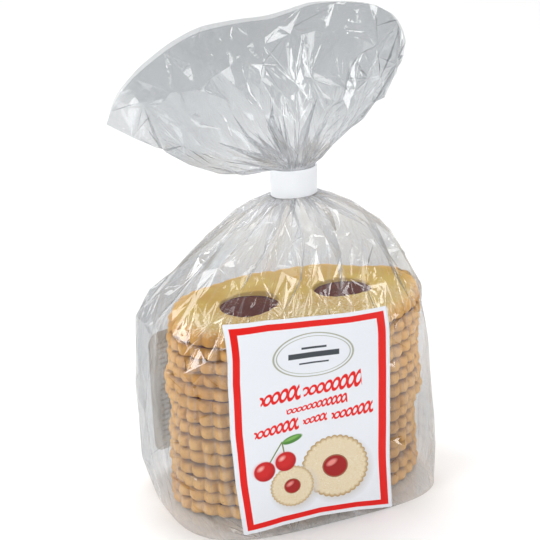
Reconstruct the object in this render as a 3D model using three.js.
// Clear bag of jam sandwich cookies, gathered and clipped, standing on its flat base.
// Millimetres, +Z up, -Y is the side with the label. The bag is one closed solid out to the film.
import * as THREE from "three";

// The stack in the bag: what the film's lower part is drawn round
const stackLength = 115;
const stackDepth = 72.5;

// Film: how far it stands off the stack on each side at the widest
const gapLeft = 8.5;
const gapRight = 1.5;
const gapFront = 5.2;
const gapBack = 3.2;

// Neck and clip
const clipBottom = 132.6;
const clipHeight = 11.6;
const clipCentreX = 1.1;
const clipHalfWidth = 10.2;
const clipHalfDepth = 7.4;
const clipWall = 0.7;
const clipRidges = 26;
const clipRidgeDepth = 0.12;
const touchGap = 0.3;
const clipFromFilm = 0.6;

// Open end of the film above the clip: its rim from the right end to the left end, with half the
// distance between its front and its back, then how its mouth dips between the two lips
const rim = [
  { x: 42.7, z: 168.2, depth: 0 },
  { x: 46.5, z: 174.4, depth: 1 },
  { x: 52.2, z: 187.5, depth: 1.2 },
  { x: 51, z: 196, depth: 1.2 },
  { x: 45.1, z: 203.9, depth: 1.2 },
  { x: 35.1, z: 208.1, depth: 1.2 },
  { x: 24, z: 209.9, depth: 1.2 },
  { x: 11, z: 210.9, depth: 1.6 },
  { x: 0, z: 208.6, depth: 2.4 },
  { x: -10, z: 207, depth: 3 },
  { x: -19.1, z: 207.2, depth: 3.2 },
  { x: -36, z: 206, depth: 3 },
  { x: -46.5, z: 202.8, depth: 2.4 },
  { x: -58.7, z: 196, depth: 2 },
  { x: -68.7, z: 188.6, depth: 1.4 },
  { x: -74.3, z: 181.9, depth: 1 },
  { x: -77.6, z: 173.2, depth: 0 },
];
const mouthTrough = 2.8;
const mouthInnerDepth = 0.55;
const mouthInnerWidth = 0.975;

// How deep the open end bellies out, how far its left underside sags, and how far its right side
// lifts up to a share of its height
const bellyDepth = 15.5;
const fanSag = 8.5;
const fanLift = 2.6;
const fanLiftEndsAt = 0.5;

// Gathers in the film on both sides of the clip
const gathers = 11;
const gatherDepth = 0.085;
const gatherStartsAt = 0.8;
const gatherEndsAt = 0.4;

// Labels on the front and the back of the film, by their edges seen from the front
const frontLabel = { left: -46, right: 25.4, leftTop: 93.6, rightTop: 91.8, bottom: 1.2, corner: 1.8 };
const backLabel = { left: -55, right: 12, leftTop: 66, rightTop: 66, bottom: 9, corner: 5 };
const labelThickness = 0.3;

// Faces round the bag, up its filled part and up its open end
const around = 72;
const fanRows = 15;
const labelColumns = 18;
const labelRows = 16;
const clipAround = 96;

const film = new THREE.MeshStandardMaterial({
  color: 0xc9cfd1,
  roughness: 0.15,
  metalness: 0,
  transparent: true,
  opacity: 0.55,
});
const paper = new THREE.MeshStandardMaterial({ color: 0xeef0f4, roughness: 0.6, metalness: 0 });
const plastic = new THREE.MeshStandardMaterial({ color: 0xf2f4f8, roughness: 0.4, metalness: 0 });

const halfLeft = stackLength / 2 + gapLeft;
const halfRight = stackLength / 2 + gapRight;
const halfFront = stackDepth / 2 + gapFront;
const halfBack = stackDepth / 2 + gapBack;
const neckHalfWidth = clipHalfWidth - clipWall - touchGap;
const neckHalfDepth = clipHalfDepth - clipWall - touchGap;
const neckBottom = clipBottom - clipFromFilm;
const neckTop = clipBottom + clipHeight + clipFromFilm;

// Sections of the filled part, from the base to the clip. Each has its height, the share of the
// full reach to the left, right, front and back, and how square its left and right ends are.
const sections = [
  { z: 0, left: 0.955, right: 0.93, front: 1.05, back: 0.93, squareLeft: 3.4, squareRight: 4.2 },
  { z: 6, left: 0.985, right: 0.98, front: 1.035, back: 0.975, squareLeft: 3.9, squareRight: 3.6 },
  { z: 30, left: 1, right: 1, front: 1, back: 1, squareLeft: 4.2, squareRight: 2.7 },
  { z: 60, left: 1.015, right: 0.985, front: 1, back: 1, squareLeft: 4.2, squareRight: 2.35 },
  { z: 80, left: 0.99, right: 0.955, front: 0.98, back: 0.985, squareLeft: 4, squareRight: 2.4 },
  { z: 89, left: 0.935, right: 0.905, front: 0.917, back: 0.925, squareLeft: 3.7, squareRight: 2.6 },
  { z: 97, left: 0.826, right: 0.84, front: 0.83, back: 0.835, squareLeft: 3.3, squareRight: 2.7 },
  { z: 104, left: 0.705, right: 0.78, front: 0.745, back: 0.76, squareLeft: 3.1, squareRight: 2.6 },
  { z: 112, left: 0.582, right: 0.72, front: 0.64, back: 0.66, squareLeft: 2.8, squareRight: 2.5 },
  { z: 120, left: 0.436, right: 0.575, front: 0.505, back: 0.53, squareLeft: 2.6, squareRight: 2.4 },
  { z: 126, left: 0.314, right: 0.405, front: 0.4, back: 0.42, squareLeft: 2.4, squareRight: 2.3 },
  { z: 130, left: 0.24, right: 0.295, front: 0.3, back: 0.315, squareLeft: 2.2, squareRight: 2.2 },
];
const rowsBetween = 2;

// Value of one field of the sections at a height, on a curve that never overshoots them
function sectionValue(field, z) {
  let k = 0;
  while (k < sections.length - 2 && z > sections[k + 1].z) k += 1;
  const slope = (i) => {
    if (i < 0 || i >= sections.length - 1) return 0;
    return (sections[i + 1][field] - sections[i][field]) / (sections[i + 1].z - sections[i].z);
  };
  const tangent = (i) => {
    const before = slope(i - 1);
    const after = slope(i);
    if (i === 0) return after;
    if (i === sections.length - 1) return before;
    return before * after <= 0 ? 0 : (2 * before * after) / (before + after);
  };
  const low = sections[k];
  const high = sections[k + 1];
  const h = high.z - low.z;
  const u = THREE.MathUtils.clamp((z - low.z) / h, 0, 1);
  const rise = low[field] * (1 + 2 * u) * (1 - u) * (1 - u) + high[field] * u * u * (3 - 2 * u);
  return rise + h * (tangent(k) * u * (1 - u) * (1 - u) - tangent(k + 1) * u * u * (1 - u));
}

const signedPower = (value, power) => Math.sign(value) * Math.abs(value) ** power;

// Small folds that run out from the clip, deepest beside it
function gather(angle, share) {
  const wave = Math.cos(gathers * angle + 0.6) + 0.5 * Math.cos(2 * gathers * angle + 2.1);
  return 1 + gatherDepth * share * wave;
}

// Point on the filled part: angle 0 is +X and -90 degrees is the label's side
function bodyPoint(angle, z) {
  const c = Math.cos(angle);
  const s = Math.sin(angle);
  const blend = 0.5 + 0.5 * c;
  const squareLeft = sectionValue("squareLeft", z);
  const square = squareLeft + (sectionValue("squareRight", z) - squareLeft) * blend;
  const reachX = c < 0 ? halfLeft * sectionValue("left", z) : halfRight * sectionValue("right", z);
  const reachY = s < 0 ? halfFront * sectionValue("front", z) : halfBack * sectionValue("back", z);
  const share = THREE.MathUtils.smoothstep(z, gatherStartsAt * clipBottom, clipBottom);
  const fold = gather(angle, share);
  const x = reachX * signedPower(c, 2 / square) * fold;
  const y = reachY * signedPower(s, 2 / square) * fold;
  return new THREE.Vector3(x, y, z);
}

function neckPoint(angle, z) {
  const x = clipCentreX + neckHalfWidth * Math.cos(angle);
  return new THREE.Vector3(x, neckHalfDepth * Math.sin(angle), z);
}

const rimCurve = new THREE.CatmullRomCurve3(rim.map(({ x, z, depth }) => new THREE.Vector3(x, depth, z)));

// Rim of the open end, even along its length, its front edge opposite its back edge
function rimPoint(angle) {
  const fromRight = angle <= Math.PI ? angle / Math.PI : 2 - angle / Math.PI;
  const point = rimCurve.getPointAt(fromRight);
  point.y *= angle <= Math.PI ? 1 : -1;
  return point;
}

// Point on the open end, share 0 at the clip and 1 at the rim
function fanPoint(angle, share) {
  const c = Math.cos(angle);
  const s = Math.sin(angle);
  const point = neckPoint(angle, neckTop).lerp(rimPoint(angle), share);
  point.y += bellyDepth * Math.sin(Math.PI * share ** 0.8) * signedPower(s, 0.8);
  point.y *= gather(angle, Math.max(0, 1 - share / gatherEndsAt));
  point.z -= fanSag * Math.sin(Math.PI * share ** 0.78) * Math.max(0, -c) ** 3;
  point.z += fanLift * Math.sin(Math.PI * Math.min(1, share / fanLiftEndsAt)) * Math.max(0, c) ** 3;
  return point;
}

function ring(makePoint) {
  return Array.from({ length: around }, (unused, k) => makePoint((2 * Math.PI * k) / around));
}

// Closed mesh from rings of equal length, each end closed straight across
function solidFromRings(rings) {
  const points = rings.flat();
  const faces = [];
  const top = points.length - around;
  for (let row = 0; row < rings.length - 1; row += 1) {
    for (let k = 0; k < around; k += 1) {
      const a = row * around + k;
      const b = row * around + ((k + 1) % around);
      faces.push(a, b, b + around, a, b + around, a + around);
    }
  }
  stripAcross().forEach(([a, b, c]) => faces.push(a, c, b, top + a, top + b, top + c));
  const geometry = new THREE.BufferGeometry().setFromPoints(points);
  geometry.setIndex(faces);
  geometry.computeVertexNormals();
  return geometry;
}

// Triangles across a ring, from its right end to its left end, each side joined to the other
function stripAcross() {
  const half = around / 2;
  const triangles = [[0, 1, around - 1]];
  for (let k = 1; k < half - 1; k += 1) {
    triangles.push([k, k + 1, around - k]);
    triangles.push([k + 1, around - k - 1, around - k]);
  }
  triangles.push([half - 1, half, half + 1]);
  return triangles;
}

// Heights of the rings of the filled part, evenly spaced from each section to the next
function bodyHeights() {
  const heights = sections.slice(0, -1).flatMap((low, k) => {
    const step = (sections[k + 1].z - low.z) / rowsBetween;
    return Array.from({ length: rowsBetween }, (unused, i) => low.z + i * step);
  });
  return [...heights, sections[sections.length - 1].z];
}

function bagGeometry() {
  const rings = bodyHeights().map((z) => ring((angle) => bodyPoint(angle, z)));
  rings.push(ring((angle) => neckPoint(angle, neckBottom)));
  rings.push(ring((angle) => neckPoint(angle, neckTop)));
  for (let row = 1; row <= fanRows; row += 1) {
    rings.push(ring((angle) => fanPoint(angle, row / fanRows)));
  }
  rings.push(ring((angle) => troughPoint(angle)));
  return solidFromRings(rings);
}

// Inner edge of the mouth: a little in from the rim and lower, so that the two lips stand up
function troughPoint(angle) {
  const point = rimPoint(angle);
  const middleX = (rim[0].x + rim[rim.length - 1].x) / 2;
  point.y *= mouthInnerDepth;
  point.x = THREE.MathUtils.lerp(middleX, point.x, mouthInnerWidth);
  point.z -= mouthTrough * THREE.MathUtils.lerp(0.4, 1, Math.abs(Math.sin(angle)));
  return point;
}

// White band round the neck, ridged where it was pressed
function clipGeometry() {
  const outline = (grow, ridge) =>
    Array.from({ length: clipAround }, (unused, k) => {
      const angle = (2 * Math.PI * k) / clipAround;
      const wall = grow + ridge * Math.cos(clipRidges * angle);
      const x = clipCentreX + (clipHalfWidth + wall) * Math.cos(angle);
      return new THREE.Vector2(x, (clipHalfDepth + wall) * Math.sin(angle));
    });
  const shape = new THREE.Shape(outline(0, clipRidgeDepth));
  shape.holes.push(new THREE.Path(outline(-clipWall, 0)));
  const geometry = new THREE.ExtrudeGeometry(shape, { depth: clipHeight, bevelEnabled: false });
  return geometry.translate(0, 0, clipBottom);
}

// Front or back of the film at a place across and a height, found by halving the angle
function filmY(x, z, side) {
  let atLeft = Math.PI;
  let atRight = 0;
  for (let step = 0; step < 30; step += 1) {
    const middle = (atLeft + atRight) / 2;
    if (bodyPoint(side * middle, z).x < x) atLeft = middle;
    else atRight = middle;
  }
  return bodyPoint((side * (atLeft + atRight)) / 2, z).y;
}

// One face of a label: a grid of points that follows the film, with the four corners rounded
function labelFace(label, side, offset) {
  const width = label.right - label.left;
  const points = [];
  for (let row = 0; row <= labelRows; row += 1) {
    for (let column = 0; column <= labelColumns; column += 1) {
      const u = column / labelColumns;
      const v = row / labelRows;
      const height = THREE.MathUtils.lerp(label.leftTop, label.rightTop, u) - label.bottom;
      const fromSide = Math.min(u, 1 - u) * width;
      const fromEnd = Math.min(v, 1 - v) * height;
      const inset = Math.max(0, label.corner - fromSide - fromEnd) / 2;
      const x = label.left + u * width + (u < 0.5 ? inset : -inset);
      const z = label.bottom + v * height + (v < 0.5 ? inset : -inset);
      points.push(new THREE.Vector3(x, filmY(x, z, side) + side * offset, z));
    }
  }
  return points;
}

// Sheet that follows the film: side is -1 on the front and 1 on the back
function labelGeometry(label, side) {
  const points = [
    ...labelFace(label, side, touchGap + labelThickness),
    ...labelFace(label, side, touchGap),
  ];
  const inner = points.length / 2;
  const across = labelColumns + 1;
  const faces = [];
  const quad = (a, b, c, d) => (side < 0 ? faces.push(a, b, c, a, c, d) : faces.push(a, c, b, a, d, c));
  for (let row = 0; row < labelRows; row += 1) {
    for (let column = 0; column < labelColumns; column += 1) {
      const a = row * across + column;
      quad(a, a + 1, a + across + 1, a + across);
      quad(inner + a, inner + a + across, inner + a + across + 1, inner + a + 1);
    }
    const left = row * across;
    const right = left + labelColumns;
    quad(left, left + across, inner + left + across, inner + left);
    quad(right, inner + right, inner + right + across, right + across);
  }
  for (let column = 0; column < labelColumns; column += 1) {
    const bottom = column;
    const top = labelRows * across + column;
    quad(bottom, inner + bottom, inner + bottom + 1, bottom + 1);
    quad(top, top + 1, inner + top + 1, inner + top);
  }
  const geometry = new THREE.BufferGeometry().setFromPoints(points);
  geometry.setIndex(faces);
  geometry.computeVertexNormals();
  return geometry;
}

function namedMesh(name, geometry, material) {
  const mesh = new THREE.Mesh(geometry, material);
  mesh.name = name;
  return mesh;
}

const pack = new THREE.Group();
pack.add(namedMesh("bag", bagGeometry(), film));
pack.add(namedMesh("clip", clipGeometry(), plastic));
pack.add(namedMesh("label", labelGeometry(frontLabel, -1), paper));
pack.add(namedMesh("back_label", labelGeometry(backLabel, 1), paper));

// The origin is the middle of the pack's outline seen from above, on the surface it stands on
const outline = new THREE.Box3().setFromObject(pack);
const middle = outline.getCenter(new THREE.Vector3());
pack.position.set(-middle.x, -middle.y, 0);

export default pack;
